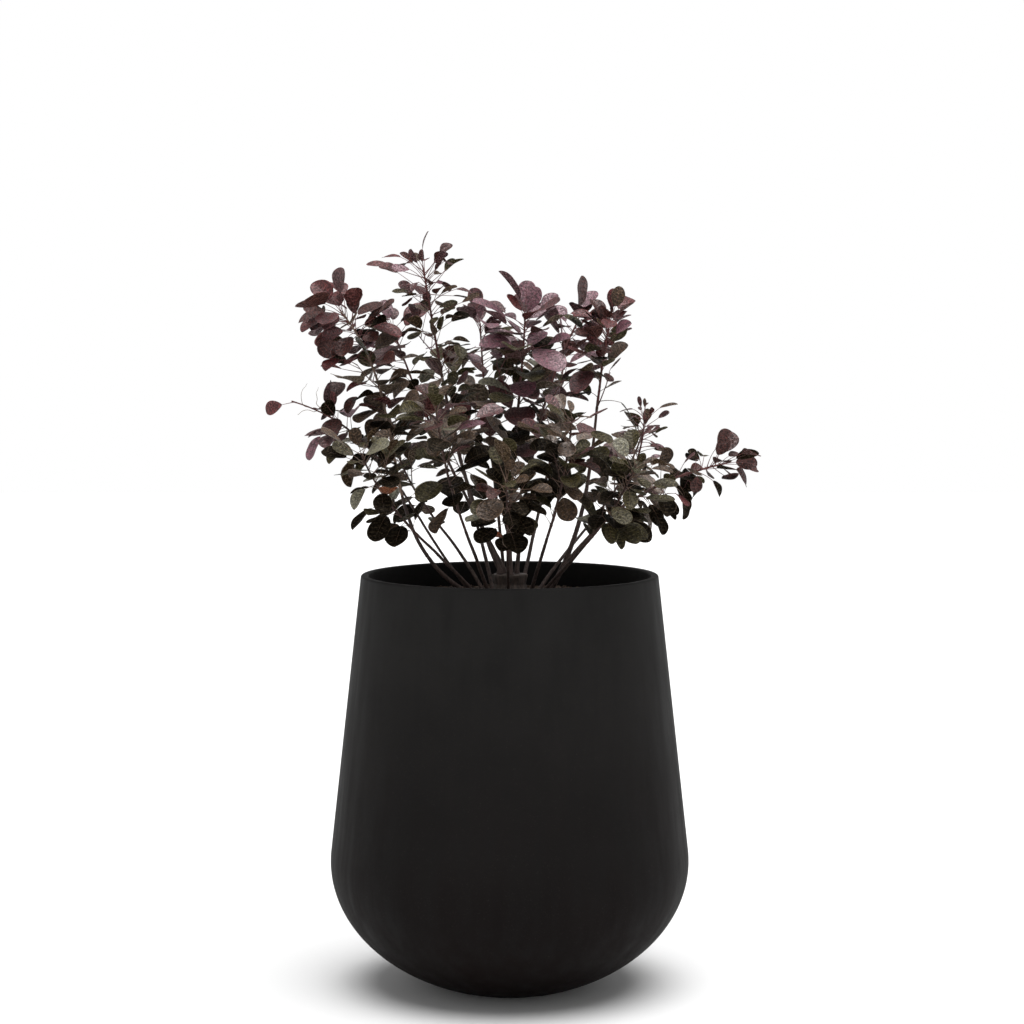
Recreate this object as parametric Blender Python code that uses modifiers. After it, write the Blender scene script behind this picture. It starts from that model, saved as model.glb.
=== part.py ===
"""A purple-leaved smoke bush: many upright shoots from one stool, in a tall round-bellied planter."""

import math
import random
from collections import namedtuple

import bmesh
import bpy
from mathutils import Matrix, Vector
from mathutils.bvhtree import BVHTree

# Planter, in metres
POT_HEIGHT = 0.770
BELLY_RADIUS = 0.3345
BOWL_HALF_HEIGHT = 0.2494
FOOT_RADIUS = 0.115
SIDE_TAPER = 0.1114
POT_WALL = 0.014
LIP_ROUNDING = 0.004
SOIL_DROP = 0.045
POT_SIDES = 40
OUTER_ARC_STEPS = 8
INNER_ARC_STEPS = 4

# Woody parts
GAP = 0.0003
STOOL_HEIGHT = 0.045
STOOL_LEVELS = (0, 0.25, 0.60, 0.90, 1)
STOOL_RADII = (0.046, 0.0357, 0.031, 0.034, 0.034)
STUB_LENGTH = 0.008
HANDLE_SHARE = 0.38
FLARE_LENGTH = 0.035
FLARE_SHARE = 0.35
TIP_RADIUS = 0.0013
TAPER_POWER = 0.8
AXIS_STEPS = 28
CUT_WIDTH = 1.3 * GAP
BOUGH_POINTS = 5
STEM_POINTS = 7
STEM_SIDES = 4
TWIG_SIDES = 3
TWIG_RADII = (0.0017, 0.0014, 0.0010)
TWIG_PLACES = (0.25, 0.60)
TWIG_SPREAD = (0.6, 0.9)
TWIG_LENGTHS = (1.1, 1.6)
TWIG_BEND = 0.55
TWIG_RISE = 0.4
TWIG_LEAF_PLACES = (0.45, 0.72, 0.96)
TWIG_LEAF_SIZE = 0.92
STEM_START = 0.004

# Leaves
LEAF_SCALE = 1.28
LEAF_THICKNESS = 0.0014
LEAF_SECTIONS = ((0.52, 0.50), (0.86, 0.36))
LENGTH_RANGE = (0.85, 1.12)
WIDTH_RANGE = (0.9, 1.1)
PETIOLE_RADII = (0.0005, 0.0009)
PETIOLE_SHARE = 0.55
PETIOLE_RANGE = (0.7, 1.3)
GOLDEN_ANGLE = math.radians(137.5)
BEARING_CHANCE = 0.25
RISE_AT_FOOT = 80
RISE_AT_TIP = 36
RISE_CHANCE = 12
NOD_RANGE = (-34, 10)
TILT_SHARE = 0.6
LOWEST_LEAF = 0.04
HIGHEST_LEAF = 0.985
LEAF_CROWDING = 0.85
LOWEST_LEAF_SIZE = 1.08
LEAF_SIZE_DROP = 0.2

# A leaf that doesn't fit its space is tried again, turned, raised and shortened a little each time
LEAF_TRIES = 9
TRY_TURN = 0.8
TRY_RISE = 4
TRY_SHORTER = 0.04
TRY_PETIOLE = 0.07

# Space of each mass
SPACE_MARGIN = 0.004
LOWEST_FOLIAGE = 0.830

SEED = 7
MOST_SEEDS = 6
MERGE_DISTANCE = 0.000003

# Rings that the shoots stand on: the inner one on the stool, the outer one in the soil round it
INNER = 0.019
OUTER = 0.072

# One shoot: its foot on the inner or outer ring and the foot's bearing in degrees, the tip of its
# stem, how far it fans out at the foot and leans at the tip in degrees, the share of its length
# that is bare, its radius at the foot, its leaves, their length and width share, and its side twigs.
FIELDS = "name ring bearing tip fan lean bare radius leaves leaf_length leaf_width twigs"
Shoot = namedtuple("Shoot", FIELDS)
SHOOTS = [
    Shoot("rosette_left", OUTER, 188, (-0.308, -0.050, 1.256), 62, 40, 0.44, 0.0045, 18, 0.056, 0.66, 1),
    Shoot("slant_left", INNER, 125, (-0.222, 0.100, 1.232), 30, 20, 0.36, 0.0040, 15, 0.047, 0.60, 1),
    Shoot("tallest", INNER, 190, (-0.160, 0.010, 1.338), 24, 10, 0.38, 0.0048, 26, 0.042, 0.58, 0),
    Shoot("inner_left", OUTER, 97, (-0.056, 0.125, 1.235), 6, 4, 0.40, 0.0040, 13, 0.050, 0.60, 0),
    Shoot("centre", INNER, 275, (0.028, -0.060, 1.248), -6, 4, 0.38, 0.0048, 21, 0.058, 0.64, 1),
    Shoot("inner_right", INNER, 45, (0.128, 0.110, 1.238), 8, 34, 0.40, 0.0042, 14, 0.048, 0.58, 1),
    Shoot("upright_right", OUTER, 356, (0.184, -0.020, 1.236), 30, 12, 0.42, 0.0058, 19, 0.045, 0.56, 1),
    Shoot("fine_right", OUTER, 20, (0.254, 0.085, 1.062), 40, 2, 0.50, 0.0030, 18, 0.030, 0.44, 0),
    Shoot("arching_right", OUTER, 338, (0.394, -0.045, 0.978), 30, 78, 0.32, 0.0045, 18, 0.042, 0.56, 0),
    Shoot("low_left", OUTER, 170, (-0.402, -0.020, 1.092), 40, 74, 0.58, 0.0030, 9, 0.044, 0.56, 0),
    Shoot("back_left_low", OUTER, 134, (-0.225, 0.185, 1.015), 34, 20, 0.42, 0.0038, 12, 0.050, 0.60, 0),
    Shoot("front_left", OUTER, 240, (-0.130, -0.240, 1.085), 34, 14, 0.40, 0.0040, 15, 0.054, 0.62, 1),
    Shoot("front_right", OUTER, 300, (0.110, -0.240, 1.070), 34, 14, 0.40, 0.0040, 15, 0.054, 0.62, 1),
    Shoot("back_left", OUTER, 116, (-0.120, 0.290, 1.140), 32, 12, 0.40, 0.0042, 14, 0.052, 0.60, 1),
    Shoot("back_right", OUTER, 72, (0.105, 0.295, 1.160), 32, 12, 0.40, 0.0042, 14, 0.052, 0.60, 1),
    Shoot("front_low", OUTER, 268, (-0.005, -0.290, 0.965), 44, 34, 0.38, 0.0035, 11, 0.050, 0.60, 0),
    Shoot("front_left_low", OUTER, 214, (-0.265, -0.190, 1.005), 44, 26, 0.42, 0.0038, 13, 0.050, 0.60, 0),
    Shoot("front_right_low", OUTER, 320, (0.225, -0.190, 0.985), 44, 26, 0.42, 0.0038, 13, 0.050, 0.60, 0),
    Shoot("back_right_low", OUTER, 42, (0.260, 0.225, 1.030), 42, 24, 0.42, 0.0038, 12, 0.050, 0.60, 0),
]

SOIL_TOP = POT_HEIGHT - SOIL_DROP
UP = Vector((0, 0, 1))


def clear_scene():
    for obj in list(bpy.data.objects):
        bpy.data.objects.remove(obj, do_unlink=True)


def new_collection(name):
    collection = bpy.data.collections.new(name)
    bpy.context.scene.collection.children.link(collection)
    return collection


def new_material(name, colour, roughness):
    material = bpy.data.materials.new(name)
    material.use_nodes = True
    shader = material.node_tree.nodes["Principled BSDF"]
    shader.inputs["Base Color"].default_value = (*colour, 1)
    shader.inputs["Roughness"].default_value = roughness
    shader.inputs["Metallic"].default_value = 0
    return material


def add_object(name, data, collection, material):
    obj = bpy.data.objects.new(name, data)
    collection.objects.link(obj)
    data.materials.append(material)
    return obj


# Planter and soil


def foot_height():
    """How far the flat foot lies above the lowest point of the whole ellipse."""
    return BOWL_HALF_HEIGHT * (1 - math.sqrt(1 - (FOOT_RADIUS / BELLY_RADIUS) ** 2))


def belly_arc(inset, steps):
    """Radius and height from the straight side to the foot, along an ellipse, moved in by inset."""
    tangent = math.pi / 2 + math.atan(SIDE_TAPER * BOWL_HALF_HEIGHT / BELLY_RADIUS)
    foot = math.asin(FOOT_RADIUS / BELLY_RADIUS)
    points = []
    for step in range(steps + 1):
        angle = tangent + (foot - tangent) * step / steps
        radius = BELLY_RADIUS * math.sin(angle)
        height = BOWL_HALF_HEIGHT * (1 - math.cos(angle)) - foot_height()
        normal = Vector((math.sin(angle) / BELLY_RADIUS, -math.cos(angle) / BOWL_HALF_HEIGHT)).normalized()
        points.append((radius - inset * normal.x, height - inset * normal.y))
    return points


def side_radius(height, inset):
    """Radius of the straight side at a height above the belly."""
    radius, start = belly_arc(inset, 1)[0]
    return radius - SIDE_TAPER * (height - start)


def turned(name, profile, collection, material):
    """A solid turned from a profile that runs down its outer side, closed on the axis."""
    mesh = bpy.data.meshes.new(name)
    edges = [(i, i + 1) for i in range(len(profile) - 1)]
    mesh.from_pydata([(radius, 0, height) for radius, height in profile], edges, [])
    obj = add_object(name, mesh, collection, material)
    screw = obj.modifiers.new("turn", "SCREW")
    screw.axis = "Z"
    screw.steps = POT_SIDES
    screw.render_steps = POT_SIDES
    screw.use_merge_vertices = True
    screw.merge_threshold = 0.00001
    screw.use_smooth_shade = True
    return obj


def make_pot(collection):
    material = new_material("anthracite_composite", (0.022, 0.021, 0.022), 0.62)
    outer = belly_arc(0, OUTER_ARC_STEPS)
    inner = belly_arc(POT_WALL, INNER_ARC_STEPS)
    inner_floor = inner[-1][1]
    shoulder = POT_HEIGHT - LIP_ROUNDING
    inner_lip = side_radius(shoulder, POT_WALL)
    outer_lip = side_radius(shoulder, 0)
    profile = [(0, inner_floor)] + inner[::-1]
    profile += [(inner_lip, shoulder), (inner_lip + LIP_ROUNDING, POT_HEIGHT)]
    profile += [(outer_lip - LIP_ROUNDING, POT_HEIGHT), (outer_lip, shoulder)]
    profile += outer + [(0, 0)]
    return turned("pot", profile, collection, material)


def make_soil(collection):
    material = new_material("bark_compost", (0.035, 0.024, 0.016), 0.95)
    wall = belly_arc(POT_WALL + GAP, INNER_ARC_STEPS)
    profile = [(0, SOIL_TOP), (side_radius(SOIL_TOP, POT_WALL + GAP), SOIL_TOP)] + wall
    profile.append((0, wall[-1][1]))
    return turned("soil", profile, collection, material)


# Lines of the shoots


def heading(bearing):
    return Vector((math.cos(bearing), math.sin(bearing), 0))


def shoot_foot(shoot):
    ground = SOIL_TOP if shoot.ring == OUTER else SOIL_TOP + GAP + STOOL_HEIGHT
    return heading(math.radians(shoot.bearing)) * shoot.ring + UP * (ground + GAP)


def leaning(outward, degrees):
    return outward * math.sin(math.radians(degrees)) + UP * math.cos(math.radians(degrees))


def shoot_line(shoot):
    """Points along a shoot: a short upright stub, then a curve that fans out and leans at its tip."""
    foot = shoot_foot(shoot)
    tip = Vector(shoot.tip)
    outward = (tip - foot) * Vector((1, 1, 0))
    outward.normalize()
    start = foot + UP * STUB_LENGTH
    handle = (tip - start).length * HANDLE_SHARE
    first = start + leaning(outward, shoot.fan) * handle
    second = tip - leaning(outward, shoot.lean) * handle
    line = [foot]
    for step in range(AXIS_STEPS + 1):
        t = step / AXIS_STEPS
        s = 1 - t
        line.append(s**3 * start + 3 * s * s * t * first + 3 * s * t * t * second + t**3 * tip)
    return line


def point_on(line, share):
    """The point and direction at a share of the line's steps."""
    place = share * (len(line) - 1)
    index = min(int(place), len(line) - 2)
    step = line[index + 1] - line[index]
    return line[index] + step * (place - index), step.normalized()


def shoot_radius(shoot, share):
    """A shoot's radius: an even taper, with a small flare at its foot."""
    taper = shoot.radius + (TIP_RADIUS - shoot.radius) * share**TAPER_POWER
    height = share * (Vector(shoot.tip) - shoot_foot(shoot)).length
    flare = FLARE_SHARE * shoot.radius * max(0, 1 - height / FLARE_LENGTH) ** 2
    return taper + flare


def limb(name, points, radii, collection, material):
    """A tapering limb: a curve with a round section and filled caps."""
    curve = bpy.data.curves.new(name, "CURVE")
    curve.dimensions = "3D"
    curve.bevel_depth = radii[0]
    curve.bevel_resolution = 1
    curve.use_fill_caps = True
    spline = curve.splines.new("POLY")
    spline.points.add(len(points) - 1)
    for spot, point, radius in zip(spline.points, points, radii):
        spot.co = (*point, 1)
        spot.radius = radius / radii[0]
    return add_object(name, curve, collection, material)


def make_stool(collection, material):
    """The old woody base that the inner shoots rise from, with its root flare on the soil."""
    base = SOIL_TOP + GAP
    points = [Vector((0, 0, base + STOOL_HEIGHT * level)) for level in STOOL_LEVELS]
    stool = limb("stool", points, STOOL_RADII, collection, material)
    stool.data.bevel_resolution = 4
    return stool


def cut_shares(shoot):
    """Where the bough ends and the foliage's stem begins, each side of the cut."""
    half = 0.5 * CUT_WIDTH / (Vector(shoot.tip) - shoot_foot(shoot)).length
    middle = (math.floor(shoot.bare * (AXIS_STEPS + 1)) + 0.5) / (AXIS_STEPS + 1)
    return middle - half, middle + half


def make_bough(shoot, line, collection, material):
    end, _ = cut_shares(shoot)
    first = 1 / (AXIS_STEPS + 1)
    shares = [0] + [first + (end - first) * i / (BOUGH_POINTS - 2) for i in range(BOUGH_POINTS - 1)]
    points = [point_on(line, share)[0] for share in shares]
    direction = point_on(line, end)[1]
    points[-2] = points[-1] - direction * (points[-1] - points[-2]).length
    radii = [shoot_radius(shoot, share) for share in shares]
    return limb(shoot.name + "_bough", points, radii, collection, material)


# Foliage


def loft(name, rings, tip, collection):
    """A closed mesh over rings of as many points each, capped at its start and ending in a tip or cap."""
    mesh = bmesh.new()
    made = [[mesh.verts.new(point) for point in ring] for ring in rings]
    count = len(rings[0])
    mesh.faces.new(made[0][::-1])
    for lower, upper in zip(made, made[1:]):
        for i in range(count):
            j = (i + 1) % count
            mesh.faces.new((lower[i], lower[j], upper[j], upper[i]))
    if tip is None:
        mesh.faces.new(made[-1])
    else:
        end = mesh.verts.new(tip)
        for i in range(count):
            mesh.faces.new((made[-1][i], made[-1][(i + 1) % count], end))
    bmesh.ops.triangulate(mesh, faces=mesh.faces)
    data = bpy.data.meshes.new(name)
    mesh.to_mesh(data)
    mesh.free()
    obj = bpy.data.objects.new(name, data)
    collection.objects.link(obj)
    return obj


def twig_solid(name, points, radii, sides, collection):
    """A tapering twig with a few flat sides, kept from twisting by carrying its first side along."""
    rings = []
    across = None
    for index, (point, radius) in enumerate(zip(points, radii)):
        ahead = points[min(index + 1, len(points) - 1)] - points[max(index - 1, 0)]
        if index == 0:
            ahead = points[1] - points[0]
        direction = ahead.normalized()
        across = direction.orthogonal() if across is None else across
        across = (across - direction * across.dot(direction)).normalized()
        along = direction.cross(across)
        angles = [2 * math.pi * i / sides for i in range(sides)]
        rings.append([point + (across * math.cos(a) + along * math.sin(a)) * radius for a in angles])
    return loft(name, rings, None, collection)


def leaf_rings(root, aim, normal, petiole, length, width, nod):
    """One leaf on its long petiole, keeled along the midrib, as rings of three points and a tip."""
    neck = root + aim * petiole
    side = aim.cross(normal).normalized()
    blade = Matrix.Rotation(nod, 3, side) @ aim
    face = side.cross(blade).normalized()
    rings = []
    for point, axis, radius in zip((root, neck), (aim, blade), PETIOLE_RADII):
        rim = side * radius
        over = side.cross(axis).normalized() * radius
        rings.append([point + rim + over * 0.5, point - over, point - rim + over * 0.5])
    for share, half in LEAF_SECTIONS:
        middle = neck + blade * length * share
        reach = side * width * half
        rings.append([middle + reach, middle - face * LEAF_THICKNESS, middle - reach])
    return rings, neck + blade * length


class Spaces:
    """The space of each foliage mass: all that lies nearer to its own shoot than to any other."""

    def __init__(self, lines):
        self.lines = lines

    def distance(self, point, line):
        return min((point - spot).length for spot in line)

    def holds(self, index, point):
        if point.z < LOWEST_FOLIAGE:
            return False
        own = self.distance(point, self.lines[index])
        others = (self.distance(point, line) for i, line in enumerate(self.lines) if i != index)
        return all(own + SPACE_MARGIN < other for other in others)


def grow_leaf(mass, root, direction, bearing, rank, size):
    """One leaf on a stem or twig. It turns and shortens until it fits its space, or is left out."""
    chance = mass.chance
    across = direction.orthogonal().normalized()
    along = direction.cross(across)
    for attempt in range(LEAF_TRIES):
        turn = bearing + attempt * TRY_TURN * (-1) ** attempt
        outward = across * math.cos(turn) + along * math.sin(turn)
        spread = (RISE_AT_FOOT + (RISE_AT_TIP - RISE_AT_FOOT) * rank) * (rank < 1)
        rise = math.radians(spread + chance.uniform(-RISE_CHANCE, RISE_CHANCE) - TRY_RISE * attempt)
        aim = (direction * math.cos(rise) + outward * math.sin(rise)).normalized()
        length = size * LEAF_SCALE * chance.uniform(*LENGTH_RANGE) * (1 - TRY_SHORTER * attempt)
        petiole = length * PETIOLE_SHARE * chance.uniform(*PETIOLE_RANGE) * (1 - TRY_PETIOLE * attempt)
        width = length * mass.shoot.leaf_width * chance.uniform(*WIDTH_RANGE)
        nod = math.radians(chance.uniform(*NOD_RANGE))
        loose = Vector((chance.uniform(-1, 1), chance.uniform(-1, 1), chance.uniform(-0.3, 0.6)))
        normal = UP + loose * TILT_SHARE
        normal = (normal - aim * normal.dot(aim)).normalized()
        rings, tip = leaf_rings(root, aim, normal, petiole, length, width, nod)
        corners = [point for ring in rings[1:] for point in ring] + [tip]
        if all(mass.spaces.holds(mass.index, corner) for corner in corners) and mass.is_free(rings, tip):
            mass.number += 1
            loft(f"{mass.shoot.name}_leaf_{mass.number}", rings, tip, mass.parts)
            return


def grow_twig(mass, line, share):
    """A side twig with its own few leaves."""
    chance = mass.chance
    root, direction = point_on(line, share)
    size = mass.shoot.leaf_length
    for _ in range(LEAF_TRIES):
        turn = chance.uniform(0, 2 * math.pi)
        across = direction.orthogonal().normalized()
        outward = across * math.cos(turn) + direction.cross(across) * math.sin(turn)
        aim = (direction + outward * chance.uniform(*TWIG_SPREAD)).normalized()
        length = size * chance.uniform(*TWIG_LENGTHS)
        middle = root + aim * length * TWIG_BEND
        tip = middle + (aim + UP * TWIG_RISE).normalized() * length * (1 - TWIG_BEND)
        if mass.spaces.holds(mass.index, middle) and mass.spaces.holds(mass.index, tip):
            break
    else:
        return
    points = [root, middle, tip]
    twig_solid(f"{mass.shoot.name}_twig_{share:.2f}", points, TWIG_RADII, TWIG_SIDES, mass.parts)
    for number, place in enumerate(TWIG_LEAF_PLACES):
        spot, ahead = point_on(points, place)
        bearing = number * GOLDEN_ANGLE + chance.uniform(-BEARING_CHANCE, BEARING_CHANCE)
        grow_leaf(mass, spot, ahead, bearing, place, size * TWIG_LEAF_SIZE)


def join_all(stem, collection):
    """Joins the stem and all that grows from it into one closed body."""
    union = stem.modifiers.new("join", "BOOLEAN")
    union.operation = "UNION"
    union.operand_type = "COLLECTION"
    union.collection = collection
    union.solver = "MANIFOLD"
    graph = bpy.context.evaluated_depsgraph_get()
    joined = bpy.data.meshes.new_from_object(stem.evaluated_get(graph))
    stem.modifiers.clear()
    stem.data = joined
    for obj in list(collection.objects):
        bpy.data.objects.remove(obj, do_unlink=True)
    bpy.data.collections.remove(collection)


def shells_of(mesh):
    """The mesh's faces in groups that hang together by their edges, the largest group last."""
    unseen = set(mesh.faces)
    shells = []
    while unseen:
        shell = set()
        front = [unseen.pop()]
        while front:
            face = front.pop()
            shell.add(face)
            near = {other for edge in face.edges for other in edge.link_faces} & unseen
            front += list(near)
            unseen -= near
        shells.append(shell)
    return sorted(shells, key=len)


def clean_shell(obj):
    """Merges corners that almost meet, drops scraps and sealed hollows, and says if it is closed."""
    mesh = bmesh.new()
    mesh.from_mesh(obj.data)
    bmesh.ops.remove_doubles(mesh, verts=mesh.verts, dist=MERGE_DISTANCE)
    for shell in shells_of(mesh)[:-1]:
        bmesh.ops.delete(mesh, geom=list(shell), context="FACES")
    bmesh.ops.triangulate(mesh, faces=mesh.faces)
    closed = all(piece.is_manifold for piece in list(mesh.edges) + list(mesh.verts))
    mesh.to_mesh(obj.data)
    mesh.free()
    return closed


class Mass:
    """What one mass of foliage needs while it grows: its shoot, its space, its chance and its parts."""

    def __init__(self, shoot, index, spaces, seed):
        self.shoot = shoot
        self.index = index
        self.spaces = spaces
        self.chance = random.Random(seed)
        self.parts = new_collection(shoot.name + "_parts")
        self.grown = []
        self.number = 0

    def is_free(self, rings, tip):
        """True where a leaf crosses no other leaf of this mass, and then it counts as grown."""
        corners = [point for ring in rings for point in ring] + [tip]
        faces = []
        for ring in range(len(rings) - 1):
            for i in range(3):
                j = (i + 1) % 3
                faces.append((3 * ring + i, 3 * ring + j, 3 * ring + 3 + j, 3 * ring + 3 + i))
        last = 3 * (len(rings) - 1)
        faces += [(last, last + 1, len(corners) - 1), (last + 1, last + 2, len(corners) - 1)]
        tree = BVHTree.FromPolygons(corners, faces)
        if any(tree.overlap(other) for other in self.grown):
            return False
        self.grown.append(tree)
        return True


def grow_foliage(shoot, index, spaces, line, collection, seed):
    """One mass of foliage: the shoot's leafy length with its side twigs and leaves, as one body."""
    mass = Mass(shoot, index, spaces, seed)
    _, start = cut_shares(shoot)
    shares = [start + (1 - start) * i / (STEM_POINTS - 1) for i in range(STEM_POINTS)]
    points = [point_on(line, share)[0] for share in shares]
    points.insert(1, points[0] + point_on(line, start)[1] * STEM_START)
    radii = [shoot_radius(shoot, share) for share in [shares[0]] + shares]
    stem = twig_solid(shoot.name + "_foliage", points, radii, STEM_SIDES, collection)
    for _ in range(shoot.twigs):
        grow_twig(mass, line, start + (1 - start) * mass.chance.uniform(*TWIG_PLACES))
    bearing = mass.chance.uniform(0, 2 * math.pi)
    grow_leaf(mass, *point_on(line, HIGHEST_LEAF), bearing, 1, shoot.leaf_length)
    for number in range(shoot.leaves):
        rank = (number + 0.5) / shoot.leaves
        share = LOWEST_LEAF + (HIGHEST_LEAF - LOWEST_LEAF) * rank**LEAF_CROWDING
        root, ahead = point_on(line, start + (1 - start) * share)
        bearing += GOLDEN_ANGLE + mass.chance.uniform(-BEARING_CHANCE, BEARING_CHANCE)
        size = shoot.leaf_length * (LOWEST_LEAF_SIZE - LEAF_SIZE_DROP * rank)
        grow_leaf(mass, root, ahead, bearing, rank, size)
    join_all(stem, mass.parts)
    return stem


def make_foliage(shoot, index, spaces, line, collection, material):
    """Grows the mass again from another seed where fusing leaves it open at a corner."""
    for attempt in range(MOST_SEEDS):
        seed = SEED + 100 * index + 10 * attempt
        stem = grow_foliage(shoot, index, spaces, line, collection, seed)
        if clean_shell(stem):
            break
        bpy.data.objects.remove(stem, do_unlink=True)
    stem.data.materials.append(material)
    return stem


def main():
    clear_scene()
    bush = new_collection("smoke_bush")
    make_pot(bush)
    make_soil(bush)
    bark = new_material("brown_bark", (0.060, 0.030, 0.024), 0.75)
    purple = new_material("purple_leaf", (0.060, 0.018, 0.026), 0.55)
    make_stool(bush, bark)
    lines = [shoot_line(shoot) for shoot in SHOOTS]
    spaces = Spaces(lines)
    for index, shoot in enumerate(SHOOTS):
        make_bough(shoot, lines[index], bush, bark)
        make_foliage(shoot, index, spaces, lines[index], bush, purple)


main()
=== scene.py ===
"""Looks of a potted smoke bush: leaves, stalks, bark, compost and planter, grown like its solids."""

import math
import random
from collections import namedtuple

import bpy
import numpy as np
from mathutils import Matrix, Vector, noise
from mathutils.bvhtree import BVHTree


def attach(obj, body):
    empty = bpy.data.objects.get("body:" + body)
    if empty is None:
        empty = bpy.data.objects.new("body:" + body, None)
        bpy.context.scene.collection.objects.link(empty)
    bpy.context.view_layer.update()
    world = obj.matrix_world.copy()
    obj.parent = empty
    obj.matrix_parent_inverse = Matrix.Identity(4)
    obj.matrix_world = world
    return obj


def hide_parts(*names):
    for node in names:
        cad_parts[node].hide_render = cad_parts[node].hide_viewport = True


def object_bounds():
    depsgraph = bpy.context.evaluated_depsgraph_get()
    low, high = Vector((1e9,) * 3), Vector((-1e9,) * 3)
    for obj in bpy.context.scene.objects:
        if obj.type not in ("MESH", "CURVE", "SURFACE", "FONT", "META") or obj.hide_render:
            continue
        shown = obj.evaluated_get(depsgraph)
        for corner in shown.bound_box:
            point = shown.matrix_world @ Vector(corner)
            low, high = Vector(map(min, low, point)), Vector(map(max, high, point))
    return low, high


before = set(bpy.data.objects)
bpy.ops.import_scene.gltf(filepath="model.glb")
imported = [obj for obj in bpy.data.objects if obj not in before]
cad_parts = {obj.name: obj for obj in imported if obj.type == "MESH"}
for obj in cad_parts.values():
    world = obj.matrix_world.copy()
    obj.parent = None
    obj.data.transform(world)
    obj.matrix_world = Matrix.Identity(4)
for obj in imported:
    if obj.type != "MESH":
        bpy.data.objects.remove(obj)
cad_low, cad_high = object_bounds()

# Camera, from the fit of the planter's outline in the picture
IMAGE_SIZE = 1024
SENSOR_WIDTH = 36
FOCAL_PIXELS = 2594.6
CAMERA_PLACE = (0, -4.8, 1.235)
CAMERA_PITCH = 4.16
PLANTER_AXIS_PIXEL = 509.7

# Studio: the wall's top and fade as the sine of the height above the horizon, the ceiling's
# brightness, and the key light's bearing, height, width and strength
FLOOR_REACH = 14
WALL_TOP = (0.13, 0.35)
CEILING = 0.40
KEY_LIGHT = (-60, 82, 60, 4.4)
FLOOR_SHADE = 0.76
FLOOR_DROP = 0.0004

# Planter, in metres
POT_HEIGHT = 0.770
BELLY_RADIUS = 0.3345
BOWL_HALF_HEIGHT = 0.2494
FOOT_RADIUS = 0.115
SIDE_TAPER = 0.1114
POT_WALL = 0.014
LIP_ROUNDING = 0.004
SOIL_DROP = 0.045
POT_SIDES = 256
ARC_STEPS = 48
SIDE_STEPS = 8
LIP_STEPS = 6

# Compost
SOIL_GAP = 0.002
SOIL_DEPTH = 0.03
SOIL_RINGS = 90
SOIL_SIDES = 200
RING_CROWDING = 0.8
SOIL_LUMPS = 0.004
LUMP_GRAIN = 28
CRUMB_GRAIN = 90
MOUND_HEIGHT = 0.003
MOUND_RADIUS = 0.09
CHIPS = 3600
CHIP_SPREAD = (0.01, 0.97)
CHIP_LENGTHS = (0.003, 0.011)
CHIP_WIDTHS = (0.35, 0.8)
CHIP_DEPTHS = (0.12, 0.3)
CHIP_TILT = 0.5
CHIP_REST = 0.4
CHIP_RAGS = (0.6, 1.0)

# Woody parts
GAP = 0.0003
STOOL_HEIGHT = 0.045
STOOL_LEVELS = (0, 0.25, 0.60, 0.90, 1)
STOOL_RADII = (0.046, 0.0357, 0.031, 0.034, 0.034)
STOOL_SIDES = 72
STOOL_RINGS = 36
STUB_LENGTH = 0.008
HANDLE_SHARE = 0.38
FLARE_LENGTH = 0.035
FLARE_SHARE = 0.35
TIP_RADIUS = 0.0013
TAPER_POWER = 0.8
COARSE_STEPS = 29
FINE = 6
BARK_SIDES = 14
STEM_SIDES = 8
WOBBLE = 0.0012
WOBBLE_GRAIN = 22
WOBBLE_SHIFT = 7.3
NODE_SWELLING = 0.22
NODE_LENGTH = 0.004
YOUNG_FROM = 0.55
TWIG_RADII = (0.0013, 0.0007)
TWIG_STEPS = 9
DEAD_TIP_RADIUS = 0.0003
DEAD_SWAY = 0.010
DEAD_GRAIN = 40
DEAD_SHIFT = 3.7
TWIG_PLACES = (0.20, 0.72)
TWIG_SPREAD = (0.5, 0.9)
TWIG_LENGTHS = (1.0, 1.7)
TWIG_BEND = 0.55
TWIG_RISE = 0.4
TWIG_LEAVES = 6
TWIG_LEAF_SIZE = 0.86
TWIG_LEAF_SPAN = (0.25, 0.73)
# A way that no stem runs in, from which the rings of a tube start
ASIDE = (0.3, 0.9, 0.1)

# Leaves
LENGTH_RANGE = (0.72, 1.16)
WIDTH_RANGE = (0.88, 1.14)
PETIOLE_SHARE = 0.52
PETIOLE_GAIN = 0.35
PETIOLE_RANGE = (0.7, 1.3)
PETIOLE_RADII = (0.00075, 0.00050, 0.00030)
PETIOLE_FOOT = 0.5
PETIOLE_BEND = 0.10
STALK_SIDES = 5
STALK_RINGS = 7
RIB_RINGS = 6
RIB_REACH = 0.88
GOLDEN_ANGLE = math.radians(137.5)
BEARING_CHANCE = 0.25
RISE_AT_FOOT = 80
RISE_AT_TIP = 56
RISE_CHANCE = 14
NOD_RANGE = (-45, 15)
TILT_SHARE = 0.75
TILT_RISE = (-0.3, 0.6)
OUTWARD_LEAN = 0.35
LIGHT_LEAN = Vector((0, -0.38, 0))
CROWN_RADIUS = 0.35
TIP_NOD = 0.35
TIP_LIGHT = Vector((0.25, -1, 0.35))
# Blades stand at all angles on these shoots, and lie more level on the others
LOOSE_SHOOTS = ("rosette_left", "tallest", "upright_right", "fine_right", "arching_right", "low_left")
LEVEL_SHARE = 0.62
LOWEST_LEAF = 0.02
HIGHEST_LEAF = 0.985
LEAF_CROWDING = 0.62
LOWEST_LEAF_SIZE = 1.14
LEAF_SIZE_DROP = 0.38
WHORL_LENGTH = 0.050
WHORL_RISE = (18, 98)
WHORL_SIZES = (0.62, 1.00)
WHORL_PETIOLE = 0.60
WHORL_START = 0.3
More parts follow.
